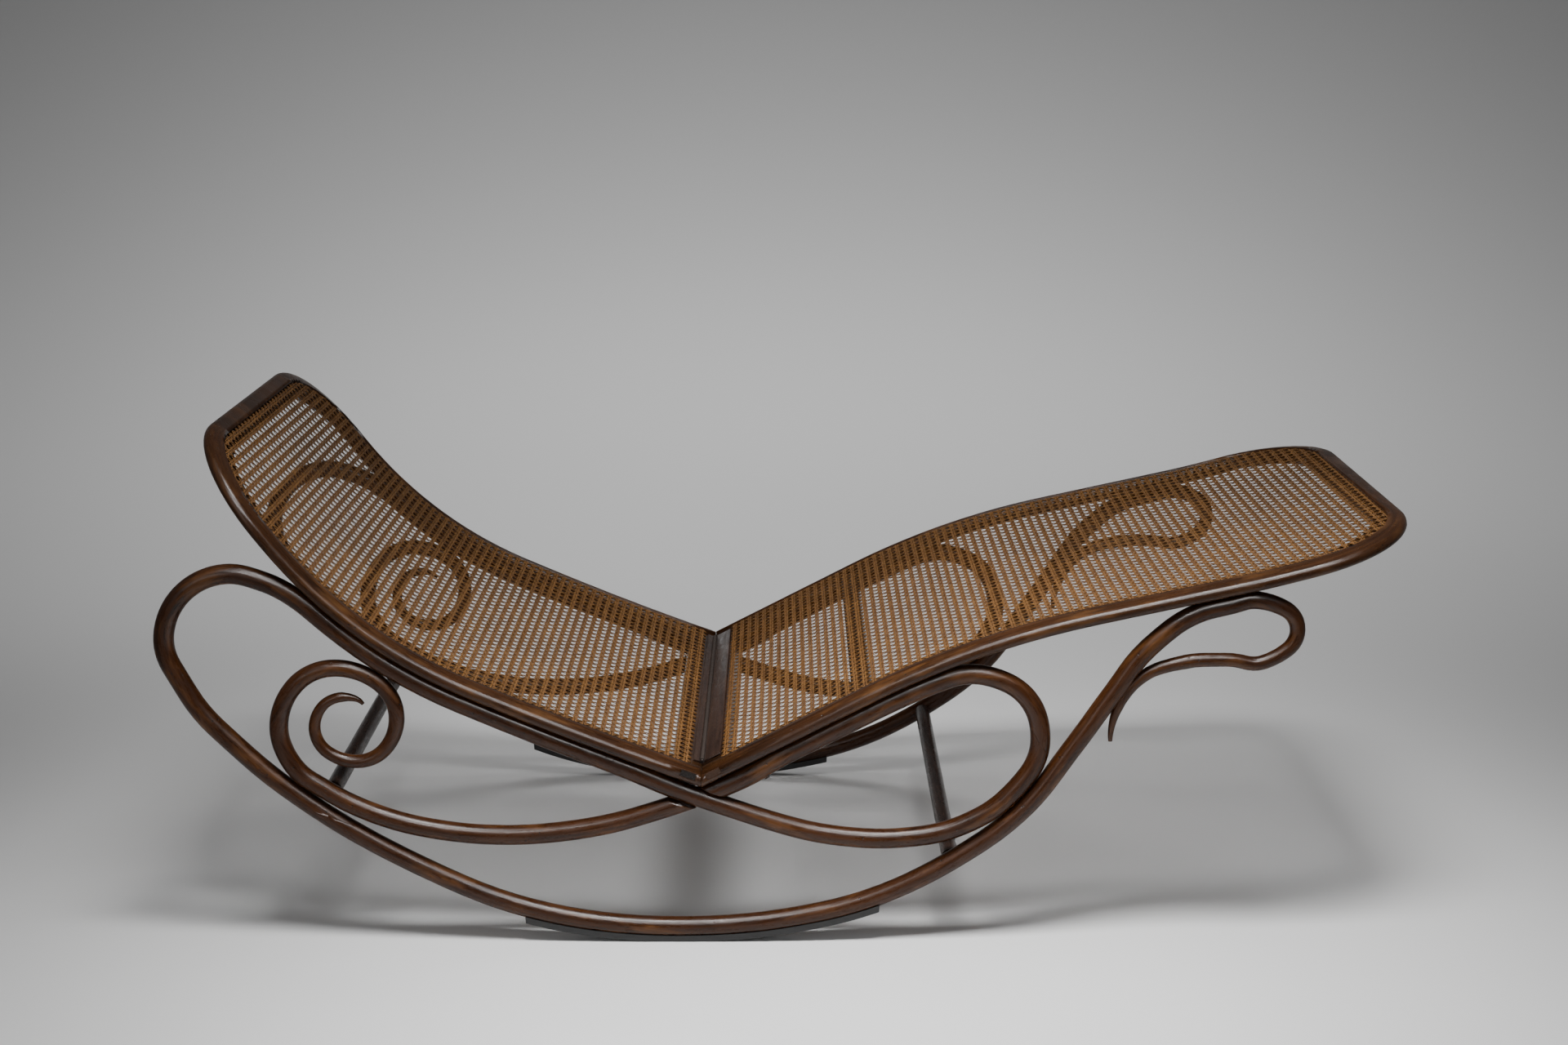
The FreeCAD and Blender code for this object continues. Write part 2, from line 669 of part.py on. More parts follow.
def wear_strip(rods, y, span):
    """Strip under the runner, hollowed to the round of the rod and bevelled at its ends."""
    arcs = [arc for arc in rods.runner if strip_search[0] < arc[1][0] < strip_search[1]
            and arc[1][1] < strip_search[2]]
    outer = moved_aside(arcs, rod_radius + strip_thickness)
    inner = moved_aside(arcs, rod_radius - strip_rise)
    edges = [arc_edge(at(a, 0), at(m, 0), at(b, 0)) for a, m, b in outer]
    edges.append(Part.LineSegment(at(outer[-1][2], 0), at(inner[-1][2], 0)).toShape())
    edges += [arc_edge(at(a, 0), at(m, 0), at(b, 0)) for a, m, b in reverse(inner)]
    edges.append(Part.LineSegment(at(inner[0][0], 0), at(outer[0][0], 0)).toShape())
    strip = Part.Face(Part.Wire(edges)).extrude(Vector(0, strip_width, 0))
    strip.translate(Vector(0, y - strip_width / 2, 0))
    low, high = span
    deep, top = strip_levels
    corners = [(low + strip_bevel, deep), (low, top), (high, top), (high - strip_bevel, deep)]
    corners = [at(p, y - strip_width) for p in corners + corners[:1]]
    ends = Part.Face(Part.makePolygon(corners))
    strip = strip.common(ends.extrude(Vector(0, 2 * strip_width, 0)))
    groove = bent_rod(arcs, y, rod_radius + clearance)
    return strip.cut(groove)


def screw_with_dome(p, direction, y, length, play):
    """Round-headed screw that starts at p and runs along direction."""
    shank = turned_rod(p, direction, y, screw_radius + play, length + play)
    back = (p[0] - direction[0] * play, p[1] - direction[1] * play)
    if play > 0:
        head = turned_rod(back, direction, y, screw_head_radius + play, screw_head + play)
        low = (p[0] - direction[0] * rod_radius, p[1] - direction[1] * rod_radius)
        way_in = turned_rod(low, direction, y, screw_head_radius + play, rod_radius + play)
        return head.fuse(way_in).fuse(shank)
    axis = Vector(direction[0], 0, direction[1])
    crown = 0.6 * screw_head_radius
    dome = Part.makeCone(crown, screw_head_radius, screw_head, at(p, y), axis)
    return dome.fuse(shank)


def frame_screw(station, hang, y, play):
    """Screw from under a rod up into the leg frame, square to the frame's run."""
    arcs, point, angle = frame_run((hinge_x, crease_z), leg_slope, cut_run(leg_run, station))
    n = heading(angle + 90)
    under = rod_radius - screw_head + screw_stand
    p = (point[0] - n[0] * (hang + under), point[1] - n[1] * (hang + under))
    length = hang + under - rail_depth / 2 + screw_grip
    return screw_with_dome(p, n, y, length, play)


def cut_run(run, length):
    """First part of a run, length millimetres long."""
    short = []
    for step in run:
        size = step[1] if step[0] == "line" else abs(step[1] * math.radians(step[2]))
        if size >= length:
            if step[0] == "line":
                return short + [("line", length)]
            return short + [("bend", step[1], step[2] * length / size)]
        short.append(step)
        length -= size
    return short


def side_solids(rods, y):
    """The three bent rods of one side."""
    outward = 1 if y > 0 else -1
    runner = bent_rod(rods.runner, y, rod_radius, toe_radii)
    scarf = rods.scarf_angle + scarf_slant
    runner = cut_end(runner, scarf_point, scarf, y, scarf_reach, -1)
    back_arm = bent_rod(rods.back_arm, y, rod_radius)
    back_arm = cut_end(back_arm, scarf_point, scarf, y, scarf_reach, 1)
    splice = rods.splice_angle + splice_slant
    back_arm = cut_end(back_arm, splice_point, splice, y, splice_reach, -1)
    back_arm = lap(back_arm, crossing_point, rods.scroll_angle, y, -outward)
    scroll_arm = bent_rod(reverse(rods.scroll_arm), y, rod_radius, scroll_radii)
    scroll_arm = cut_end(scroll_arm, splice_point, splice, y, splice_reach, 1)
    scroll_arm = lap(scroll_arm, crossing_point, rods.crossing_angle, y, outward)
    return runner, back_arm, scroll_arm


def main():
    os.makedirs("parts", exist_ok=True)
    parts = {}
    rods = SideRods()
    for name, y, span in (("right", -rod_plane, right_strip), ("left", rod_plane, left_strip)):
        runner, back_arm, scroll_arm = side_solids(rods, y)
        for station, hang, on_runner in frame_screws:
            hole = frame_screw(station, hang, y, screw_play)
            if on_runner:
                runner = runner.cut(hole)
            else:
                scroll_arm = scroll_arm.cut(hole)
        runner = runner.cut(blind_hole(leg_stretcher_point, y))
        scroll_arm = scroll_arm.cut(blind_hole(back_stretcher_point, y))
        parts[name + "_runner"] = runner
        parts[name + "_back_arm"] = back_arm
        parts[name + "_scroll_arm"] = scroll_arm
        parts[name + "_wear_strip"] = wear_strip(rods, y, span)
    parts["leg_stretcher"] = stretcher(leg_stretcher_point, rod_plane)
    parts["back_stretcher"] = stretcher(back_stretcher_point, rod_plane)
    parts["leg_frame_bow"] = frame_bow(leg_slope, leg_run, 1, leg_corner)
    parts["back_frame_bow"] = frame_bow(back_slope, back_run, -1, back_corner)
    through = rail_middle + rail_width / 2 + 5.0
    mortises = tenons(leg_slope, 1, through, fit_play)
    parts["leg_frame_bow"] = parts["leg_frame_bow"].cut(mortises)
    mortises = tenons(back_slope, -1, through, fit_play)
    parts["back_frame_bow"] = parts["back_frame_bow"].cut(mortises)
    slot = rail_middle - rail_width / 2 + tenon_length
    slat_slots = frame_block(leg_slope, 1, slat_outline(fit_play), -slot, slot)
    parts["leg_frame_bow"] = parts["leg_frame_bow"].cut(slat_slots)
    parts["leg_cross_rail"] = cross_rail(leg_slope, 1)
    parts["back_cross_rail"] = cross_rail(back_slope, -1)
    parts["leg_slat"] = leg_slat()
    parts["leg_cane"] = cane_panel(leg_slope, leg_run, 1, leg_corner)
    parts["back_cane"] = cane_panel(back_slope, back_run, -1, back_corner)
    parts["hinge_pin"] = hinge_pin()
    for name, upper in (("leg", 1), ("back", -1)):
        leaf = hinge_leaf(upper)
        rail = parts[name + "_cross_rail"]
        for hole in leaf_screws(upper, screw_play):
            leaf = leaf.cut(hole)
            rail = rail.cut(hole)
        parts[name + "_cross_rail"] = rail
        parts[name + "_hinge_leaf"] = leaf
        parts[name + "_hinge_screws"] = Part.Compound(leaf_screws(upper, 0.0))
    screws = []
    for y in (-rod_plane, rod_plane):
        for station, hang, on_runner in frame_screws:
            hole = frame_screw(station, hang, y, screw_play)
            parts["leg_frame_bow"] = parts["leg_frame_bow"].cut(hole)
            screws.append(frame_screw(station, hang, y, 0.0))
    parts["leg_frame_screws"] = Part.Compound(screws)
    for name, shape in parts.items():
        box = shape.BoundBox
        print("%-20s solids %d  volume %.0f  X %.0f..%.0f Y %.0f..%.0f Z %.1f..%.1f  %s" % (
            name, len(shape.Solids), shape.Volume, box.XMin, box.XMax, box.YMin, box.YMax,
            box.ZMin, box.ZMax, "valid" if shape.isValid() else "INVALID"))
        shape.exportStep("parts/" + name + ".step")


main()
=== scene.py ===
# %% [markdown]
# # A bentwood rocking chaise, dressed in Blender
# The solids come from the CAD model and keep their places. This file gives them old
# varnished wood, weaves the cane strand by strand, and sets up the studio. Each step
# says what the piece is on the real chaise before it is made.

# %% Frame
import math

import bpy
import numpy as np
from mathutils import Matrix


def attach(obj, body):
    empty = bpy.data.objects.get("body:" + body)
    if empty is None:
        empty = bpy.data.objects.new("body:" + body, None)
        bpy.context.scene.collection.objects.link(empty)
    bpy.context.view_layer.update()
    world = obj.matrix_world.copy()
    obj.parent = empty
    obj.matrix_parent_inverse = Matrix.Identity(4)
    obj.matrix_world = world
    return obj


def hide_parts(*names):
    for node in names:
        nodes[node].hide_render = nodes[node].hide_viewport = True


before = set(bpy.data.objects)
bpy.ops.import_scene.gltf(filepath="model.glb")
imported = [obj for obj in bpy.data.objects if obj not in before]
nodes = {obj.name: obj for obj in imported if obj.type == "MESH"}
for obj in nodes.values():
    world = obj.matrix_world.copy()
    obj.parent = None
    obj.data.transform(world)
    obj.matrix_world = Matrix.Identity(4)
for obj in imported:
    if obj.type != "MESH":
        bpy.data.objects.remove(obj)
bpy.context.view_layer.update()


# %% [markdown]
# ## The camera
# The photograph is taken from the sitter's right, a little above the chaise and from
# about three metres away. A 50 mm lens on a full frame gives the same narrowing of the
# far side, so the camera stands there and looks down by almost fourteen degrees.

# %% Camera
lens, sensor = 50.0, 36.0
camera_place = (-0.0066, -3.1935, 1.3133)
look_down = 13.84


def place_camera():
    """A level camera on the chaise's middle plane, tilted down."""
    data = bpy.data.cameras.new("camera")
    data.lens = lens
    data.sensor_width = sensor
    camera = bpy.data.objects.new("camera", data)
    bpy.context.collection.objects.link(camera)
    camera.location = camera_place
    camera.rotation_euler = (math.radians(90.0 - look_down), 0.0, 0.0)
    bpy.context.scene.camera = camera


place_camera()
print("camera at", camera_place, "m, looking down by", look_down, "degrees")


# %% [markdown]
# ## The studio
# The chaise stands on a pale sweep of paper: a floor that curves up into a grey wall. It
# could be two planes, but then the corner would show as a line behind the chaise. So one edge
# of a plane is extruded round a wide quarter circle, as the paper hangs in a studio.

# %% Floor and wall
def plain_colour(name, colour, roughness):
    material = bpy.data.materials.new(name)
    material.use_nodes = True
    shader = material.node_tree.nodes["Principled BSDF"]
    shader.inputs["Base Color"].default_value = (*colour, 1.0)
    shader.inputs["Roughness"].default_value = roughness
    return material


def deselect():
    if bpy.context.object and bpy.context.object.mode != "OBJECT":
        bpy.ops.object.mode_set(mode="OBJECT")
    bpy.ops.object.select_all(action="DESELECT")


def paper_sweep():
    """Floor, a wide rounded corner and a wall, extruded from one edge of a plane."""
    deselect()
    front, bend_start, half = -40.0, 1.4, 40.0
    steps, radius, wall = 40, 7.0, 4.0
    bpy.ops.mesh.primitive_plane_add(size=1.0, location=(0.0, 0.0, 0.0))
    sweep = bpy.context.object
    sweep.name = "paper_sweep"
    for point in sweep.data.vertices:
        point.co.x *= 2 * half
        point.co.y = bend_start if point.co.y > 0 else front
    bpy.ops.object.mode_set(mode="EDIT")
    bpy.ops.mesh.select_mode(type="EDGE")
    bpy.ops.mesh.select_all(action="DESELECT")
    bpy.ops.object.mode_set(mode="OBJECT")
    for edge in sweep.data.edges:
        ends = [sweep.data.vertices[i].co for i in edge.vertices]
        edge.select = all(p.y > bend_start - 0.01 for p in ends)
    bpy.ops.object.mode_set(mode="EDIT")
    last = 0.0
    for step in range(1, steps + 1):
        angle = math.pi / 2 * step / steps
        move = (0.0, radius * (math.sin(angle) - math.sin(last)),
                radius * (math.cos(last) - math.cos(angle)))
        bpy.ops.mesh.extrude_region_move(TRANSFORM_OT_translate={"value": move})
        last = angle
    bpy.ops.mesh.extrude_region_move(TRANSFORM_OT_translate={"value": (0.0, 0.0, wall)})
    bpy.ops.object.mode_set(mode="OBJECT")
    bpy.ops.object.shade_smooth()
    sweep.data.materials.append(plain_colour("pale paper", (0.66, 0.66, 0.66), 0.8))
    print("paper sweep:", len(sweep.data.polygons), "faces")


paper_sweep()


# %% [markdown]
# ### Lights
# Area lights are a studio's soft boxes. The one overhead lays the soft shadow under the
# chaise. One behind lights the wall and leaves its corners darker, and a weak one in front
# fills the near sides of the rods. One on the far side lights the back, and is kept out of
# the varnish, where it would only be a grey glare. A long narrow one above the camera is seen
# in the varnish alone, as the fine highlight along every rod.

# %% Soft boxes
def soft_light(name, place, aim, size, power, spread):
    """A rectangular area light that faces the point it is aimed at."""
    data = bpy.data.lights.new(name, "AREA")
    data.spread = math.radians(spread)
    data.shape = "RECTANGLE"
    data.size, data.size_y = size
    data.energy = power
    light = bpy.data.objects.new(name, data)
    bpy.context.collection.objects.link(light)
    light.location = place
    direction = [a - p for a, p in zip(aim, place)]
    flat = math.hypot(direction[0], direction[1])
    light.rotation_euler = (math.atan2(flat, -direction[2]), 0.0,
                            math.atan2(direction[1], direction[0]) - math.pi / 2)
    return light


soft_light("overhead", (0.15, -0.95, 2.8), (0.1, -0.62, 0.0), (1.3, 0.6), 22.5, 62.0)
soft_light("behind", (0.0, 0.9, 3.3), (0.0, 2.9, 0.7), (2.8, 0.7), 42.0, 100.0)
soft_light("front_left", (-2.4, -3.8, 1.5), (-0.2, 0.0, 0.3), (1.2, 1.2), 4.0, 80.0)
far_side = soft_light("far_side", (0.5, 2.1, 2.4), (0.0, 0.2, 0.2), (2.2, 0.9), 6.0, 75.0)
far_side.visible_glossy = False
edge_shine = soft_light("edge_shine", (0.15, -2.0, 2.45), (0.0, -0.2, 0.3), (2.8, 0.22),
                        34.0, 90.0)
edge_shine.visible_diffuse = False

world = bpy.data.worlds.new("studio")
bpy.context.scene.world = world
world.use_nodes = True
background = world.node_tree.nodes["Background"]
background.inputs["Color"].default_value = (1.0, 1.0, 1.0, 1.0)
background.inputs["Strength"].default_value = 0.155
print("lights:", [light.name for light in bpy.data.lights])


# %% [markdown]
# ## Grain that follows the bends
# A bent rod's grain runs along the rod, round every curl. A pattern that only knows the
# room's axes would cross the wood in the bends. So each bent piece gets a "grain" attribute:
# the place of each point on the straight stick before it was bent. Its first number is the
# length along the stick, and the other two are the place in the stick's section.
# The routes below follow the middle lines of the CAD model's rods and rails, near enough for
# the grain. They are written as a maker's side drawing is, in millimetres, as (x, z).

# %% Lines from points, and from bends
def smooth_line(points, step=0.004):
    """Closely spaced points on a smooth curve through given ones."""
    p = np.array(points, float)
    p = np.vstack([2 * p[0] - p[1], p, 2 * p[-1] - p[-2]])
    rows = []
    for a, b, c, d in zip(p, p[1:], p[2:], p[3:]):
        count = max(2, int(np.linalg.norm(c - b) / step))
        t = np.linspace(0.0, 1.0, count, endpoint=False)[:, None]
        rows.append(0.5 * (2 * b + (c - a) * t + (2 * a - 5 * b + 4 * c - d) * t ** 2
                           + (3 * b - a - 3 * c + d) * t ** 3))
    rows.append(p[-2][None, :])
    return np.vstack(rows)


def run_points(start, slope, upper, steps, offset=0.0, spacing=2.0):
    """Points and headings along lines and bends, in millimetres, beside the middle line."""
    x, z = start
    angle = math.radians(slope if upper > 0 else 180.0 - slope)
    rows = [(0.0, x, z, angle)]
    length = 0.0
    for step in steps:
        size = step[1] if step[0] == "line" else abs(step[1] * math.radians(step[2]))
        turn = 0.0 if step[0] == "line" else math.radians(step[2])
        count = max(1, int(size / spacing))
        for _ in range(count):
            angle += turn / count / 2
            x += math.cos(angle) * size / count
            z += math.sin(angle) * size / count
            angle += turn / count / 2
            length += size / count
            rows.append((length, x, z, angle))
    rows = np.array(rows)
    side = rows[:, 3] + math.pi / 2 * upper
    rows[:, 1] += offset * np.cos(side)
    rows[:, 2] += offset * np.sin(side)
    return rows


# %% Middle lines of the two frames
crease = (-121.6, 245.2)
leg_slope, back_slope = 27.5, 20.0
leg_corner, back_corner = 135.0, 132.0
rail_middle, rail_half = 327.0, 23.0
rail_half_depth, rod_gap, rod_radius = 12.0, 0.3, 14.0
leg_steps = [("line", 262.0), ("bend", 1260.0, -15.0), ("line", 210.0), ("bend", 1500.0, 3.0),
             ("line", 175.0)]
back_steps = [("bend", 5000.0, -4.0), ("bend", 660.0, -29.0), ("line", 172.0)]
leg_line = run_points(crease, leg_slope, 1, leg_steps)
back_line = run_points(crease, back_slope, -1, back_steps)
print("leg frame %.0f mm long, seat back %.0f mm" % (leg_line[-1, 0], back_line[-1, 0]))

# %% Middle lines of the rods
rod_plane = 332.0
under_back, under_leg = (139.0, 575.0), (130.0, 320.0)
toe = [(446, 296), (455, 345), (487, 389), (546, 411), (600, 414), (654, 411), (697, 457),
       (641, 499), (600, 491.5), (560, 480.5), (493, 430), (441, 357)]
runner = [(404, 301), (321, 189), (228, 118), (112, 60), (-10, 30), (-158, 19), (-368, 47),
          (-545, 125), (-657, 195), (-752, 274)]
loop = [(-752, 274), (-828, 364), (-857, 448), (-829, 507), (-768, 536), (-713, 524)]
knee = [(-127, 209), (-44, 183), (60, 157), (150, 152), (232, 167), (301, 209), (349, 294),
        (330, 358), (272, 391)]
scroll = [(-78, 231), (-127, 209), (-212, 183), (-296, 165), (-381, 157), (-465, 161),
          (-566, 184), (-638.7, 219.5), (-688.7, 259.5), (-706, 322), (-626, 402), (-543, 324),
          (-601, 266), (-657, 314), (-617, 360), (-588, 350)]


def under_frame(slope, upper, steps, stretch):
    """Points on a rod's middle line along its stretch under a frame, outer end first."""
    below = -(rail_half_depth + rod_gap + rod_radius)
    rows = run_points(crease, slope, upper, steps, offset=below, spacing=30.0)
    rows = rows[(rows[:, 0] > stretch[0]) & (rows[:, 0] < stretch[1]), 1:3]
    return [tuple(p) for p in rows[::-1]]


rod_routes = {
    "runner": toe + runner,
    "back_arm": (runner[-3:-1] + loop + under_frame(back_slope, -1, back_steps, under_back)
                 + knee[:8]),
    "scroll_arm": knee[5:] + under_frame(leg_slope, 1, leg_steps, under_leg) + scroll,
}
print("rod routes:", {kind: len(points) for kind, points in rod_routes.items()}, "points")


# %% Routes in space
def rod_route(kind, side):
    """A rod's middle line in metres, on the near or the far side."""
    line = smooth_line(np.array(rod_routes[kind]) / 1000.0)
    return np.column_stack([line[:, 0], np.full(len(line), side * rod_plane / 1000.0),
                            line[:, 1]])


def bow_route(line, corner):
    """Middle line of a frame's rail: up one side, round the end, down the other side."""
    keep = line[line[:, 0] < line[-1, 0] - rail_half - corner]
    end = keep[-1]
    ahead = (math.cos(end[3]), math.sin(end[3]))
    near = [(p[1], -rail_middle, p[2]) for p in keep]
    for turn in np.linspace(0.1, math.pi / 2, 12):
        forward = corner * math.sin(turn)
        near.append((end[1] + ahead[0] * forward, -rail_middle + corner * (1 - math.cos(turn)),
                     end[2] + ahead[1] * forward))
    tip = near[-1]
    count = 40
    across = [(tip[0], tip[1] - 2 * tip[1] * k / count, tip[2]) for k in range(1, count)]
    far = [(p[0], -p[1], p[2]) for p in reversed(near)]
    return np.array(near + across + far) / 1000.0


leg_route = bow_route(leg_line, leg_corner)
back_route = bow_route(back_line, back_corner)
print("bow routes:", len(leg_route), "and", len(back_route), "points")


# %% [markdown]
# ### A copy that knows its grain
# Every bent piece shows the CAD solid's own shape, so its mesh is copied and not modelled
# again. Its loose triangles are merged, its flat sides get soft shading and its corners stay
# crisp. Then the nearest place on the route is found for every point, and kept with it. Old
# joints have closed up and old rods have settled: the mitre at the crease is drawn to a hair
# line, and the crossed rods are lifted to lie close under the frames.

# %% Nearest place on a route
def nearest_on_route(points, route):
    """Length along the route, offset across it and direction of it, for each point."""
    chunk = 2000
    start, step = route[:-1], np.diff(route, axis=0)
    size = np.linalg.norm(step, axis=1)
    length = np.concatenate([[0.0], np.cumsum(size)])
    along = np.empty(len(points))
    offset = np.empty((len(points), 3))
    direction = np.empty((len(points), 3))
    for low in range(0, len(points), chunk):
        p = points[low:low + chunk]
        rel = p[:, None, :] - start[None, :, :]
        t = np.clip((rel * step).sum(2) / (size ** 2), 0.0, 1.0)
        foot = start + t[:, :, None] * step
        gap = np.linalg.norm(p[:, None, :] - foot, axis=2)
        best = gap.argmin(1)
        row = np.arange(len(p))
        along[low:low + chunk] = length[best] + t[row, best] * size[best]
        offset[low:low + chunk] = p - foot[row, best]
        direction[low:low + chunk] = step[best] / size[best, None]
    return along, offset, direction


print("leg frame's bow: %.0f mm along its middle line" % (
    1000 * nearest_on_route(leg_route[-1:], leg_route)[0][0]))

# %% Joints that have closed up
mitre_ease, mitre_reach = 0.0006, 0.004
crossing_x, crossing_reach, crossing_lift = -0.127, 0.13, 0.0050


def refit(node, points, along, direction):
    """Close the mitre joint to a hair line, and lift the crossed rods towards the frame."""
    points = points.copy()
    if node.endswith("bow"):
        ends = (along < mitre_reach) | (along > along.max() - mitre_reach)
        away = np.where(along < along.max() / 2, -1.0, 1.0)[:, None]
        points += np.where(ends[:, None], direction * away * mitre_ease, 0.0)
    elif not node.endswith("runner"):
        reach = np.clip(np.abs(points[:, 0] - crossing_x) / crossing_reach, 0.0, 1.0)
        points[:, 2] += crossing_lift * np.cos(reach * math.pi / 2) ** 2
    return points


print("crossed rods lifted by %.0f mm at x = %.0f mm" % (1000 * crossing_lift,
                                                         1000 * crossing_x))

# %% Copy of a bent piece
soft_angle = 32.0
merge_distance = 0.00001


def bent_copy(node, route, material, body):
    """The CAD node's own shape, merged and smoothed, with the grain attribute."""
    deselect()
    mesh = nodes[node].data.copy()
    piece = bpy.data.objects.new("wood_" + node, mesh)
    bpy.context.collection.objects.link(piece)
    piece.select_set(True)
    bpy.context.view_layer.objects.active = piece
    bpy.ops.object.mode_set(mode="EDIT")
    bpy.ops.mesh.select_all(action="SELECT")
    bpy.ops.mesh.remove_doubles(threshold=merge_distance)
    bpy.ops.object.mode_set(mode="OBJECT")
    bpy.ops.object.shade_smooth_by_angle(angle=math.radians(soft_angle))
    count = len(mesh.vertices)
    points = np.empty(count * 3)
    mesh.vertices.foreach_get("co", points)
    points = points.reshape(-1, 3)
    along, offset, direction = nearest_on_route(points, route)
    points = refit(node, points, along, direction)
    mesh.vertices.foreach_set("co", points.ravel())
    mesh.update()
    normal = np.cross(direction, [0.0, 1.0, 0.0])
    normal /= np.linalg.norm(normal, axis=1)[:, None] + 1e-9
    sideways = np.cross(normal, direction)
    grain = np.column_stack([along, (offset * normal).sum(1), (offset * sideways).sum(1)])
    layer = mesh.attributes.new("grain", "FLOAT_VECTOR", "POINT")
    layer.data.foreach_set("vector", grain.ravel())
    mesh.materials.clear()
    mesh.materials.append(material)
    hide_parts(node)
    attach(piece, body)
    print(piece.name, count, "points, %.0f mm long" % (1000 * along.max()))


# %% [markdown]
# ## Old varnished beech
# The rods and frames are steam-bent beech with a dark reddish-brown varnish that has aged:
# fine streaks run along the grain, the varnish is thin and yellowish where hands and
# feet rubbed it, and small dark nicks and worm holes are scattered over it. One node group
# makes the colour, the roughness and the height from the grain's place, and each wood
# sets its own tones in it.

# %% Short ways to build materials
def group_sockets(group, inputs, outputs):
    """Inputs with their first values, and outputs, of a node group."""
    for name, kind, value in inputs:
        socket = group.interface.new_socket(name=name, in_out="INPUT", socket_type=kind)
        if value is not None:
            socket.default_value = value
    for name, kind in outputs:
        group.interface.new_socket(name=name, in_out="OUTPUT", socket_type=kind)


class Nodes:
    """Short ways to add nodes and links to one tree."""

    def __init__(self, tree):
        self.tree = tree

    def add(self, kind, **values):
        node = self.tree.nodes.new(kind)
        for name, value in values.items():
            setattr(node, name, value)
        return node

    def join(self, out, socket):
        self.tree.links.new(out, socket)

    def scaled(self, vector, scale, offset=(0.0, 0.0, 0.0)):
        node = self.add("ShaderNodeMapping")
        node.inputs["Scale"].default_value = scale
        node.inputs["Location"].default_value = offset
        self.join(vector, node.inputs["Vector"])
        return node.outputs["Vector"]

    def noise(self, vector, scale, detail=4.0, roughness=0.55, distortion=0.0):
        node = self.add("ShaderNodeTexNoise")
        node.inputs["Scale"].default_value = scale
        node.inputs["Detail"].default_value = detail
        node.inputs["Roughness"].default_value = roughness
        node.inputs["Distortion"].default_value = distortion
        self.join(vector, node.inputs["Vector"])
        return node.outputs["Fac"]

    def span(self, value, low, high, to_low=0.0, to_high=1.0):
        node = self.add("ShaderNodeMapRange", clamp=True)
        node.inputs["From Min"].default_value = low
        node.inputs["From Max"].default_value = high
        node.inputs["To Min"].default_value = to_low
        node.inputs["To Max"].default_value = to_high
        self.join(value, node.inputs["Value"])
        return node.outputs["Result"]

    def mix(self, share, first, second):
        node = self.add("ShaderNodeMix", data_type="RGBA")
        for socket, value in ((node.inputs[0], share), (node.inputs[6], first),
                              (node.inputs[7], second)):
            if isinstance(value, bpy.types.NodeSocket):
                self.join(value, socket)
            else:
                socket.default_value = value
        return node.outputs[2]

    def math(self, operation, first, second=0.0):
        node = self.add("ShaderNodeMath", operation=operation)
        for socket, value in zip(node.inputs, (first, second)):
            if isinstance(value, bpy.types.NodeSocket):
                self.join(value, socket)
            else:
                socket.default_value = value
        return node.outputs[0]


# %% Node group of the aged varnish
def worm_holes(n, place):
    """Small dark dots, round worm holes and nicks, in some places only."""
    holes = n.add("ShaderNodeTexVoronoi", feature="F1")
    holes.inputs["Scale"].default_value = 88.0
    n.join(place, holes.inputs["Vector"])
    few = n.span(n.noise(place, 26.0, detail=1.0), 0.53, 0.56)
    return n.math("MULTIPLY", n.span(holes.outputs["Distance"], 0.13, 0.1), few)


def varnish_colour(n, given, fibres, rubbed, dots):
    """Streaks between the deep and the lit tone, then worn places, fibres and holes."""
    grain, place = given["Grain"], given["Place"]
    streaks = n.noise(n.scaled(grain, (7.0, 210.0, 210.0)), 1.0, 5.0, 0.6, distortion=0.4)
    clouds = n.noise(place, 7.0, 4.0, 0.6)
    tone = n.math("ADD", n.math("MULTIPLY", streaks, 0.75), n.math("MULTIPLY", clouds, 0.55))
    colour = n.mix(n.span(tone, 0.45, 0.86), given["Deep"], given["Lit"])
    colour = n.mix(rubbed, colour, given["Worn"])
    colour = n.mix(n.span(fibres, 0.62, 0.8, 0.0, 0.35), colour, given["Deep"])
    return n.mix(n.math("MULTIPLY", dots, 0.85), colour, (0.006, 0.003, 0.002, 1.0))


def varnish_roughness(n, grain, rubbed):
    """Half shiny, in lengthwise patches, and duller where it is worn."""
    patches = n.noise(n.scaled(grain, (30.0, 160.0, 160.0), (0.4, 2.0, 0.0)), 1.0, 5.0, 0.7)
    rough = n.span(patches, 0.3, 0.72, to_low=0.18, to_high=0.42)
    return n.math("ADD", rough, n.math("MULTIPLY", rubbed, 0.12))


def varnish_height(n, given, fibres, dots):
    """Ripples of the old brush, fibres, fine grit, and the holes as pits."""
    ripple = n.noise(n.scaled(given["Grain"], (26.0, 120.0, 120.0), (1.4, 0.0, 2.0)), 1.0,
                     4.0, 0.6)
    grit = n.noise(given["Place"], 620.0, 2.0, 0.7)
    height = n.math("ADD", n.math("MULTIPLY", ripple, 0.8), n.math("MULTIPLY", fibres, 0.25))
    height = n.math("ADD", height, n.math("MULTIPLY", grit, 0.3))
    return n.math("SUBTRACT", height, n.math("MULTIPLY", dots, 1.6))


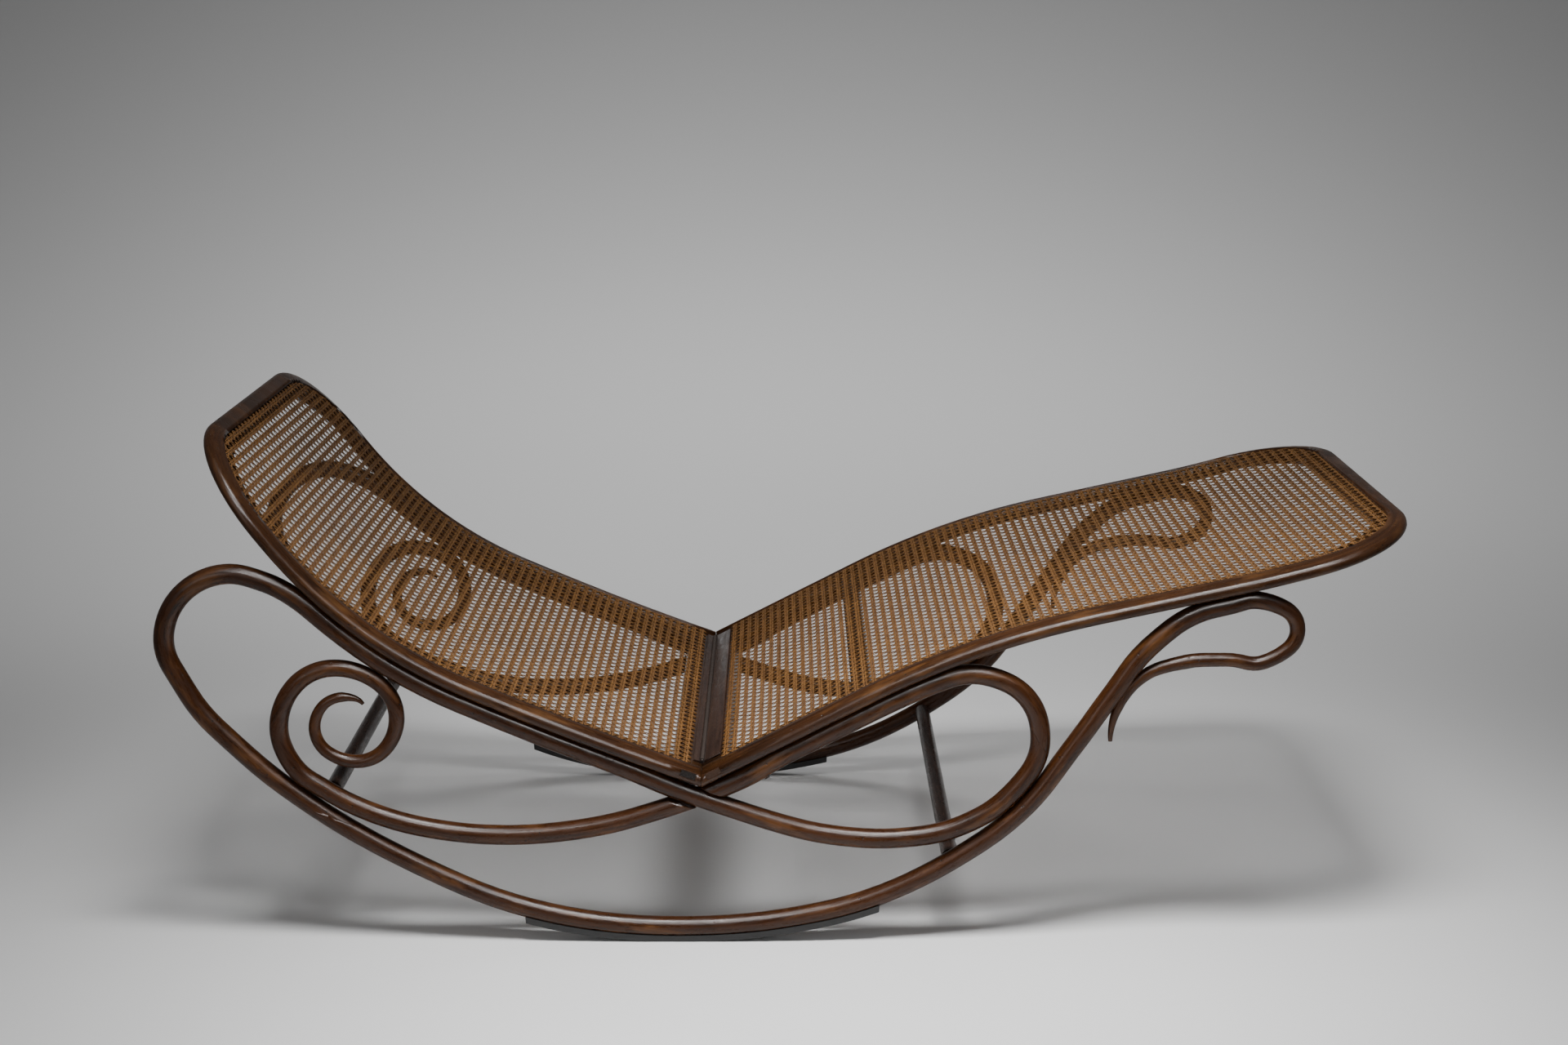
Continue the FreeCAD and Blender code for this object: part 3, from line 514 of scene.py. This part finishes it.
def varnish_group():
    """Colour, roughness and height of old varnish, from the grain and the place."""
    group = bpy.data.node_groups.new("aged varnish", "ShaderNodeTree")
    group_sockets(group, [("Grain", "NodeSocketVector", None),
                          ("Place", "NodeSocketVector", None),
                          ("Deep", "NodeSocketColor", (0.03, 0.012, 0.008, 1.0)),
                          ("Lit", "NodeSocketColor", (0.1, 0.05, 0.03, 1.0)),
                          ("Worn", "NodeSocketColor", (0.3, 0.16, 0.07, 1.0)),
                          ("Wear", "NodeSocketFloat", 0.4)],
                  [("Color", "NodeSocketColor"), ("Roughness", "NodeSocketFloat"),
                   ("Height", "NodeSocketFloat")])
    n = Nodes(group)
    given = n.add("NodeGroupInput").outputs
    out = n.add("NodeGroupOutput").inputs
    grain = given["Grain"]
    fibres = n.noise(n.scaled(grain, (45.0, 1300.0, 1300.0)), 1.0, 3.0, 0.6)
    patches = n.noise(n.scaled(grain, (9.0, 45.0, 45.0), (3.1, 0.7, 0.2)), 1.0, 5.0, 0.65)
    rubbed = n.math("MULTIPLY", n.span(patches, 0.53, 0.72), given["Wear"])
    rubbed = n.math("MULTIPLY", rubbed, n.span(fibres, 0.3, 0.65, to_low=0.45))
    dots = worm_holes(n, given["Place"])
    n.join(varnish_colour(n, given, fibres, rubbed, dots), out["Color"])
    n.join(varnish_roughness(n, grain, rubbed), out["Roughness"])
    n.join(varnish_height(n, given, fibres, dots), out["Height"])
    return group


varnish = varnish_group()
print("aged varnish:", len(varnish.nodes), "nodes")

# %% One wood from the varnish
tenon_end, tenon_fade = 0.347, 0.002


def wood(name, tones, wear, follows_bend, end_tone=None):
    """Varnished wood. Straight pieces take their grain from the object's own axes, and the ends
    of their tenons, at the frames' outer faces, have a tone of their own."""
    material = bpy.data.materials.new(name)
    material.use_nodes = True
    n = Nodes(material.node_tree)
    shader = material.node_tree.nodes["Principled BSDF"]
    place = n.add("ShaderNodeTexCoord").outputs["Object"]
    if follows_bend:
        source = n.add("ShaderNodeAttribute", attribute_type="GEOMETRY", attribute_name="grain")
        grain = source.outputs["Vector"]
    else:
        turned = n.add("ShaderNodeMapping")
        turned.inputs["Rotation"].default_value = (0.0, 0.0, math.radians(90.0))
        n.join(place, turned.inputs["Vector"])
        grain = turned.outputs["Vector"]
    node = n.add("ShaderNodeGroup")
    node.node_tree = varnish
    n.join(grain, node.inputs["Grain"])
    n.join(place, node.inputs["Place"])
    for socket, tone in zip(("Deep", "Lit", "Worn"), tones):
        node.inputs[socket].default_value = (*tone, 1.0)
    node.inputs["Wear"].default_value = wear
    colour = node.outputs["Color"]
    if end_tone:
        sides = n.add("ShaderNodeSeparateXYZ")
        n.join(place, sides.inputs["Vector"])
        outwards = n.math("ABSOLUTE", sides.outputs["Y"])
        end_grain = n.span(outwards, tenon_end - tenon_fade, tenon_end)
        colour = n.mix(end_grain, colour, (*end_tone, 1.0))
    n.join(colour, shader.inputs["Base Color"])
    n.join(node.outputs["Roughness"], shader.inputs["Roughness"])
    bump = n.add("ShaderNodeBump")
    bump.inputs["Strength"].default_value = 0.5
    bump.inputs["Distance"].default_value = 0.0006
    n.join(node.outputs["Height"], bump.inputs["Height"])
    n.join(bump.outputs["Normal"], shader.inputs["Normal"])
    shader.inputs["Specular IOR Level"].default_value = 0.25
    return material


# %% [markdown]
# ### The rods and frames
# Each side frame is three rods: the runner, the arm behind the back and the arm of the
# scroll. The frames of the seat and the back are bows, bent from one long stick each. All of
# them are copied with their grain. The tones are deep, lit and worn, and the frames' are a
# little less red than the rods'.

# %% Rods and frames in their wood
rod_tones = ((0.0125, 0.0038, 0.0012), (0.056, 0.0190, 0.0054), (0.150, 0.058, 0.0150))
frame_tones = ((0.012, 0.0041, 0.0014), (0.054, 0.0203, 0.0066), (0.14, 0.059, 0.0170))
rod_wood = wood("rod beech", rod_tones, 0.75, True)
frame_wood = wood("frame beech", frame_tones, 0.75, True)

for side_name, side in (("right", -1.0), ("left", 1.0)):
    for kind in ("runner", "back_arm", "scroll_arm"):
        bent_copy(side_name + "_" + kind, rod_route(kind, side), rod_wood, "base")
bent_copy("leg_frame_bow", leg_route, frame_wood, "base")
bent_copy("back_frame_bow", back_route, frame_wood, "backrest")


# %% [markdown]
# ### Cross rails, slat and stretchers
# These run straight from side to side, so the room's own axes give them their grain and the
# CAD pieces only get a material. The rails' tenons show at the outer faces of the frames, and
# the back rail's are dark there.

# %% Straight pieces
rail_tones = ((0.011, 0.0052, 0.0036), (0.038, 0.019, 0.0125), (0.075, 0.038, 0.021))
rail_wood = wood("rail beech", rail_tones, 0.4, False, (0.0065, 0.0030, 0.0018))
seat_rail_wood = wood("seat rail beech", rail_tones, 0.4, False, (0.036, 0.0138, 0.0048))


def give(material, *names):
    """Put one material on CAD nodes, which keep their own shape."""
    for name in names:
        mesh = nodes[name].data
        mesh.materials.clear()
        mesh.materials.append(material)
    print(material.name, "on", ", ".join(names))


give(rail_wood, "leg_stretcher", "back_stretcher", "back_cross_rail", "leg_slat")
give(seat_rail_wood, "leg_cross_rail")


# %% [markdown]
# ### The rail's top at the crease
# The seat's cross rail is wider than the back's: a little more than an inch of bare wood shows
# between the crease and the cane, and its edge is rounded so that it doesn't cut the strands.
# It could be a wider copy of the rail, but only its top shows, so it is a flat bar, laid on
# the rail's ledge, with its edges bevelled. Its place is given along the seat and above the
# seat frame's middle line.

# %% Bar along the crease
bar_first, bar_last = 9.0, 33.5
bar_low, bar_top = 6.45, 9.25
bar_half = 303.6
bar_edge = 0.0011


def rail_top():
    """A bevelled bar over the seat's cross rail, at the slope of the seat."""
    deselect()
    angle = math.radians(leg_slope)
    u, n = (bar_first + bar_last) / 2, (bar_low + bar_top) / 2
    place = ((crease[0] + u * math.cos(angle) - n * math.sin(angle)) / 1000.0, 0.0,
             (crease[1] + u * math.sin(angle) + n * math.cos(angle)) / 1000.0)
    size = ((bar_last - bar_first) / 1000.0, 2 * bar_half / 1000.0, (bar_top - bar_low) / 1000.0)
    bpy.ops.mesh.primitive_cube_add(size=1.0, location=place, rotation=(0.0, -angle, 0.0),
                                    scale=size)
    bar = bpy.context.object
    bar.name = "seat_rail_top"
    bpy.ops.object.transform_apply(location=True, rotation=True, scale=True)
    bpy.ops.object.mode_set(mode="EDIT")
    bpy.ops.mesh.select_all(action="SELECT")
    bpy.ops.mesh.bevel(offset=bar_edge, segments=3)
    bpy.ops.object.mode_set(mode="OBJECT")
    bpy.ops.object.shade_smooth_by_angle(angle=math.radians(40.0))
    bar.data.materials.append(seat_rail_wood)
    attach(bar, "base")
    print("bar over the seat rail: %.4f by %.4f by %.4f m" % size)


rail_top()


# %% [markdown]
# ## Wear strips, hinge and screws
# A thin black strip is tacked under each runner where it meets the floor. The long hinge
# between the two cross rails and the screws under the leg frame are dull old steel.

# %% Black strips and dull steel
def black_strip():
    """Dull black, scuffed to grey along the runner."""
    material = bpy.data.materials.new("black strip")
    material.use_nodes = True
    n = Nodes(material.node_tree)
    shader = material.node_tree.nodes["Principled BSDF"]
    place = n.add("ShaderNodeTexCoord").outputs["Object"]
    scuffs = n.noise(n.scaled(place, (18.0, 90.0, 90.0)), 1.0, 6.0, 0.7)
    colour = n.mix(n.span(scuffs, 0.55, 0.75), (0.006, 0.006, 0.006, 1.0),
                   (0.03, 0.027, 0.024, 1.0))
    n.join(colour, shader.inputs["Base Color"])
    n.join(n.span(scuffs, 0.3, 0.7, 0.5, 0.8), shader.inputs["Roughness"])
    bump = n.add("ShaderNodeBump")
    bump.inputs["Distance"].default_value = 0.0005
    n.join(scuffs, bump.inputs["Height"])
    n.join(bump.outputs["Normal"], shader.inputs["Normal"])
    return material


def dull_steel():
    """Old steel, brown and rough where it has rusted."""
    material = bpy.data.materials.new("dull steel")
    material.use_nodes = True
    n = Nodes(material.node_tree)
    shader = material.node_tree.nodes["Principled BSDF"]
    place = n.add("ShaderNodeTexCoord").outputs["Object"]
    rust = n.noise(place, 140.0, 6.0, 0.7)
    colour = n.mix(n.span(rust, 0.45, 0.65), (0.045, 0.034, 0.028, 1.0),
                   (0.022, 0.010, 0.006, 1.0))
    n.join(colour, shader.inputs["Base Color"])
    n.join(n.span(rust, 0.45, 0.6, 0.6, 0.1), shader.inputs["Metallic"])
    n.join(n.span(rust, 0.3, 0.7, 0.38, 0.75), shader.inputs["Roughness"])
    bump = n.add("ShaderNodeBump")
    bump.inputs["Distance"].default_value = 0.0002
    n.join(rust, bump.inputs["Height"])
    n.join(bump.outputs["Normal"], shader.inputs["Normal"])
    return material


give(black_strip(), "right_wear_strip", "left_wear_strip")
give(dull_steel(), "leg_hinge_leaf", "back_hinge_leaf", "hinge_pin", "leg_hinge_screws",
     "back_hinge_screws", "leg_frame_screws")


# %% [markdown]
# ## The woven cane
# Both panels are woven by hand from split cane in the six-way pattern. Pairs of strands
# run lengthwise and crosswise at every hole, and two sets of slanting strands cut the corners
# of each square, which leaves eight-sided openings. The holes' spacing was measured in the
# photograph, along the panel and across it. A texture would lose the light between the
# strands, so every strand is laid as a real ribbon here, with its ups and downs at the
# crossings. The pattern is the same rule repeated, so it is laid in code: a strand is a line
# on the flat panel, and the panel is then bent to the frame. Sizes are in millimetres.

# %% Sizes of the weave
pitch_u, pitch_v = 13.72, 17.5
pair_gap = 1.75
strand_width, slanting_width, strand_thick = 3.1, 2.9, 0.9
deepest_sag, slat_share = 8.5, 0.35
slat_station = 238.0
seat_height = 6.3
weave_height = seat_height + 1.75
rim = 1.8
edge_half = rail_middle - rim
hole_depth = -1.1
print("weave: %.1f mm along and %.1f mm across" % (pitch_u, pitch_v))


# %% [markdown]
# ### One panel
# A point of the flat panel has u, its distance from the crease along the frame, v, its place
# across, and h, its height over the weave's middle. The frame's middle line, which the bow
# was bent along, turns u into a place in the room. So the weave can be drawn flat, as on a
# maker's pattern, and still follows the frame's curve and the sag of old cane.

# %% Outline and bend of one panel
def hang(share, power):
    """Sag along a stretch, nothing at its ends and all of it in the middle."""
    return (4 * share * (1 - share)) ** power


class Panel:
    """Outline of one cane panel: straight at the crease, rounded at its outer corners."""

    def __init__(self, name, line, upper, first, corner, body):
        self.name, self.line, self.upper, self.body = name, line, upper, body
        self.first = first
        self.last = line[-1, 0] - (rail_half + rim)
        self.radius = corner - rim

    def half_width(self, u):
        reach = np.clip(u - (self.last - self.radius), 0.0, self.radius)
        return edge_half - self.radius + np.sqrt(self.radius ** 2 - reach ** 2)

    def end_at(self, v):
        reach = np.clip(np.abs(v) - (edge_half - self.radius), 0.0, self.radius)
        return self.last - self.radius + np.sqrt(self.radius ** 2 - reach ** 2)

    def sag(self, u, v):
        """How far the old cane hangs below its frame. The slat under the seat holds it up."""
        across = np.clip(1.0 - (np.abs(v) / edge_half) ** 2.2, 0.0, 1.0)
        if self.name == "leg":
            front = np.clip(u / slat_station, 0.0, 1.0)
            rear = np.clip((u - slat_station) / (self.last - slat_station), 0.0, 1.0)
            along = np.where(u < slat_station, slat_share * hang(front, 0.8), hang(rear, 0.7))
        else:
            share = np.clip((u - self.first) / (self.last - self.first), 0.0, 1.0)
            along = hang(share, 0.8)
        return deepest_sag * across * along

    def bent(self, u, v, h):
        """Place on the bent frame, in metres, of a point on the flat panel."""
        x = np.interp(u, self.line[:, 0], self.line[:, 1])
        z = np.interp(u, self.line[:, 0], self.line[:, 2])
        turn = np.interp(u, self.line[:, 0], self.line[:, 3]) + math.pi / 2 * self.upper
        n = weave_height + h - self.sag(u, v)
        return np.column_stack([x + n * np.cos(turn), v, z + n * np.sin(turn)]) / 1000.0


leg_start, back_start = 34.2, 18.6
leg_panel = Panel("leg", leg_line, 1, leg_start, leg_corner, "base")
back_panel = Panel("back", back_line, -1, back_start, back_corner, "backrest")
for panel in (leg_panel, back_panel):
    print(panel.name, "cane: %.0f mm along, %.0f mm across" % (panel.last - panel.first,
                                                               2 * edge_half))


# %% [markdown]
# ### The strands
# A weaver lays a lengthwise set, a crosswise set over it and a second lengthwise set on top,
# weaves the second crosswise set through them, and ends with the two slanting sets, which
# lock the weave. Each strand here is a row of points (u, v, h), close together only at a
# crossing, where it has to rise or sink. Its two ends go down into holes at the panel's edge.

# %% Lengthwise and crosswise strands
beside_crossing = np.array([-0.14, 0.14, 0.38, 0.62])
clear_of_end = 1.0
half_strands = 18
lower_set, upper_set = (-0.5, -0.3), (-0.1, 0.45)
crosswise_rise = 0.35
first_room, last_room = 1.5, 3.0


def stations(low, high, pitch):
    """Places along a strand: close beside each crossing, and on both sides of mid opening."""
    k = np.arange(math.floor(low / pitch), math.ceil(high / pitch) + 1)[:, None]
    places = (k + beside_crossing).ravel() * pitch
    return places[(places > low + clear_of_end) & (places < high - clear_of_end)]


def over_and_under(place, pitch, before, after, between):
    """Height along a strand: one level just before a crossing, another just after it."""
    phase = (place / pitch + 0.5) % 1.0
    near = np.abs(phase - 0.5) < 0.2
    return np.where(near, np.where(phase < 0.5, before, after), between)


def tucked(h):
    """A strand's heights with both ends pulled down into their holes."""
    return np.concatenate([[hole_depth], h, [hole_depth]])


def lengthwise(panel, second):
    """Strands that run from the crease to the outer end."""
    strands = []
    shift = pair_gap if second else -pair_gap
    low, high = upper_set if second else lower_set
    for k in range(-half_strands, half_strands + 1):
        v = k * pitch_v + shift
        last = float(panel.end_at(v))
        u = stations(panel.first, last, pitch_u)
        h = over_and_under(u, pitch_u, high, low, 0.5 * (low + high))
        u = np.concatenate([[panel.first], u, [last]])
        strands.append((u, np.full(len(u), v), tucked(h)))
    return strands


def crosswise(panel, second):
    """Strands that run from side to side, one rising where its neighbour sinks."""
    strands = []
    shift = pair_gap if second else -pair_gap
    rise = crosswise_rise if second else -crosswise_rise
    for k in range(int(panel.first / pitch_u) + 1, int(panel.last / pitch_u) + 1):
        u = k * pitch_u + shift
        if u < panel.first + first_room or u > panel.last - last_room:
            continue
        half = float(panel.half_width(u))
        v = stations(-half, half, pitch_v)
        h = over_and_under(v, pitch_v, rise, -rise, 0.0)
        v = np.concatenate([[-half], v, [half]])
        strands.append((np.full(len(v), u), v, tucked(h)))
    return strands


print("leg panel:", len(lengthwise(leg_panel, False)), "strands in a lengthwise set and",
      len(crosswise(leg_panel, False)), "in a crosswise one")

# %% Slanting strands
quarter_steps = 77
slant_swing, slant_lift = 0.95, 0.15
edge_room = 0.5


def slanting(panel, sign):
    """Strands that cut the corners. One set runs over the crosswise pairs, one under."""
    strands = []
    reach = edge_half / pitch_v
    first = int(panel.first / pitch_u - reach) - 1
    last = int(panel.last / pitch_u + reach) + 1
    for k in range(first, last):
        q = np.arange(-quarter_steps, quarter_steps + 1) / 4.0
        u, v = (k + 0.5 + sign * q) * pitch_u, q * pitch_v
        inside = (u > panel.first) & (u < panel.last)
        half = panel.half_width(np.clip(u, panel.first, panel.last))
        inside &= np.abs(v) < half - edge_room
        if inside.sum() < 3:
            continue
        u, v, q = u[inside], v[inside], q[inside]
        h = sign * slant_swing * np.cos(2 * np.pi * (q - 0.5)) + slant_lift
        h[0] = h[-1] = hole_depth
        strands.append((u, v, h))
    return strands


print("leg panel:", len(slanting(leg_panel, 1)), "strands in a slanting set")


# %% [markdown]
# ### The colour of old cane
# New cane is pale straw. A century of varnish and light turns it golden brown, no two strands
# alike, with a shiny bark side that is darker where dirt stayed in the fine lengthwise lines.
# Each strand carries its own tint, and its run, the length along it, for marks that follow it.

# %% Cane material
def cane_material():
    """Golden brown cane, with a tint of its own for each strand and marks along it."""
    material = bpy.data.materials.new("aged cane")
    material.use_nodes = True
    n = Nodes(material.node_tree)
    shader = material.node_tree.nodes["Principled BSDF"]
    place = n.add("ShaderNodeTexCoord").outputs["Object"]
    tint = n.add("ShaderNodeAttribute", attribute_type="GEOMETRY", attribute_name="tint")
    run = n.add("ShaderNodeAttribute", attribute_type="GEOMETRY", attribute_name="run")
    strand = n.add("ShaderNodeCombineXYZ")
    n.join(n.math("MULTIPLY", run.outputs["Fac"], 28.0), strand.inputs["X"])
    n.join(n.math("MULTIPLY", tint.outputs["Fac"], 91.0), strand.inputs["Y"])
    marks = n.noise(strand.outputs["Vector"], 1.0, 4.0, 0.6)
    dirt = n.noise(place, 5.0, 5.0, 0.6)
    fine = n.noise(place, 420.0, 2.0, 0.5)
    colour = n.mix(tint.outputs["Fac"], (0.125, 0.052, 0.0120, 1.0), (0.21, 0.096, 0.025, 1.0))
    colour = n.mix(n.span(marks, 0.42, 0.7), colour, (0.085, 0.036, 0.011, 1.0))
    colour = n.mix(n.span(dirt, 0.48, 0.72, 0.0, 0.5), colour, (0.062, 0.03, 0.0115, 1.0))
    colour = n.mix(n.span(fine, 0.5, 0.72, 0.0, 0.35), colour, (0.26, 0.14, 0.05, 1.0))
    n.join(colour, shader.inputs["Base Color"])
    n.join(n.span(marks, 0.3, 0.7, 0.40, 0.62), shader.inputs["Roughness"])
    shader.inputs["Specular IOR Level"].default_value = 0.2
    bump = n.add("ShaderNodeBump")
    bump.inputs["Strength"].default_value = 0.4
    bump.inputs["Distance"].default_value = 0.0003
    n.join(fine, bump.inputs["Height"])
    n.join(bump.outputs["Normal"], shader.inputs["Normal"])
    return material


cane = cane_material()
print(cane.name, "with", len(cane.node_tree.nodes), "nodes")


# %% [markdown]
# ### Ribbons from the lines
# Thousands of crossings are too many to model by hand, and a curve with a profile could
# twist in the bends. So each strand's mesh is written directly: four points at every
# place, two at its edges and one each for its rounded back and its underside, and a closing
# face at both ends. Every strand differs a little in width, sway and tint.

# %% One ribbon
edge_drop = 0.12
sway, sway_pace = 0.12, 0.05


def ribbon_points(panel, u, v, h, width, phase):
    """Four points round the ribbon at each place of its line."""
    du, dv = np.gradient(u), np.gradient(v)
    size = np.hypot(du, dv)
    side_u, side_v = -dv / size * width / 2, du / size * width / 2
    v = v + sway * np.sin(u * sway_pace + phase)
    rows = [panel.bent(u + side_u, v + side_v, h - edge_drop),
            panel.bent(u, v, h + strand_thick / 2),
            panel.bent(u - side_u, v - side_v, h - edge_drop),
            panel.bent(u, v, h - strand_thick / 2)]
    length = np.concatenate([[0.0], np.cumsum(size[1:])]) / 1000.0
    return np.stack(rows, 1).reshape(-1, 3), np.repeat(length, 4)


def ribbon_faces(base, count):
    """Four long sides between neighbouring places, and two ends."""
    ring = base + 4 * np.arange(count - 1)[:, None]
    k = np.arange(4)[None, :]
    quads = np.stack([ring + k, ring + (k + 1) % 4, ring + 4 + (k + 1) % 4, ring + 4 + k], 2)
    last = base + 4 * (count - 1)
    ends = [[base + 3, base + 2, base + 1, base], [last, last + 1, last + 2, last + 3]]
    return np.vstack([quads.reshape(-1, 4), ends])


print("a ribbon with 10 places has", len(ribbon_faces(0, 10)), "faces")

# %% All the ribbons of one set
rng = np.random.default_rng(7)


def ribbons(panel, name, strands, width):
    """One mesh of closed ribbons, with the tint and the run of each strand."""
    points, faces, tints, runs = [], [], [], []
    base = 0
    for u, v, h in strands:
        own_width = width * rng.uniform(0.9, 1.08)
        places, length = ribbon_points(panel, u, v, h, own_width, rng.uniform(0, 6.3))
        points.append(places)
        faces.append(ribbon_faces(base, len(u)))
        tints.append(np.full(len(places), rng.uniform()))
        runs.append(length + rng.uniform(0, 3))
        base += len(places)
    points, faces = np.vstack(points), np.vstack(faces)
    mesh = bpy.data.meshes.new(name)
    mesh.from_pydata(points.tolist(), [], faces.tolist())
    piece = bpy.data.objects.new(name, mesh)
    bpy.context.collection.objects.link(piece)
    for attribute, values in (("tint", tints), ("run", runs)):
        layer = mesh.attributes.new(attribute, "FLOAT", "POINT")
        layer.data.foreach_set("value", np.concatenate(values))
    mesh.materials.append(cane)
    deselect()
    piece.select_set(True)
    bpy.context.view_layer.objects.active = piece
    bpy.ops.object.mode_set(mode="EDIT")
    bpy.ops.mesh.select_all(action="SELECT")
    bpy.ops.mesh.normals_make_consistent(inside=False)
    bpy.ops.object.mode_set(mode="OBJECT")
    bpy.ops.object.shade_smooth()
    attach(piece, panel.body)
    print(name, len(strands), "strands,", len(faces) * 2, "triangles")
    return piece


# %% Both panels
for panel in (leg_panel, back_panel):
    woven = []
    for number, second in (("1", False), ("2", True)):
        woven.append(ribbons(panel, panel.name + "_cane_lengthwise_" + number,
                             lengthwise(panel, second), strand_width))
        woven.append(ribbons(panel, panel.name + "_cane_crosswise_" + number,
                             crosswise(panel, second), strand_width))
    for number, sign in (("1", 1), ("2", -1)):
        woven.append(ribbons(panel, panel.name + "_cane_slanting_" + number,
                             slanting(panel, sign), slanting_width))
    for piece in woven:
        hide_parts(panel.name + "_cane")
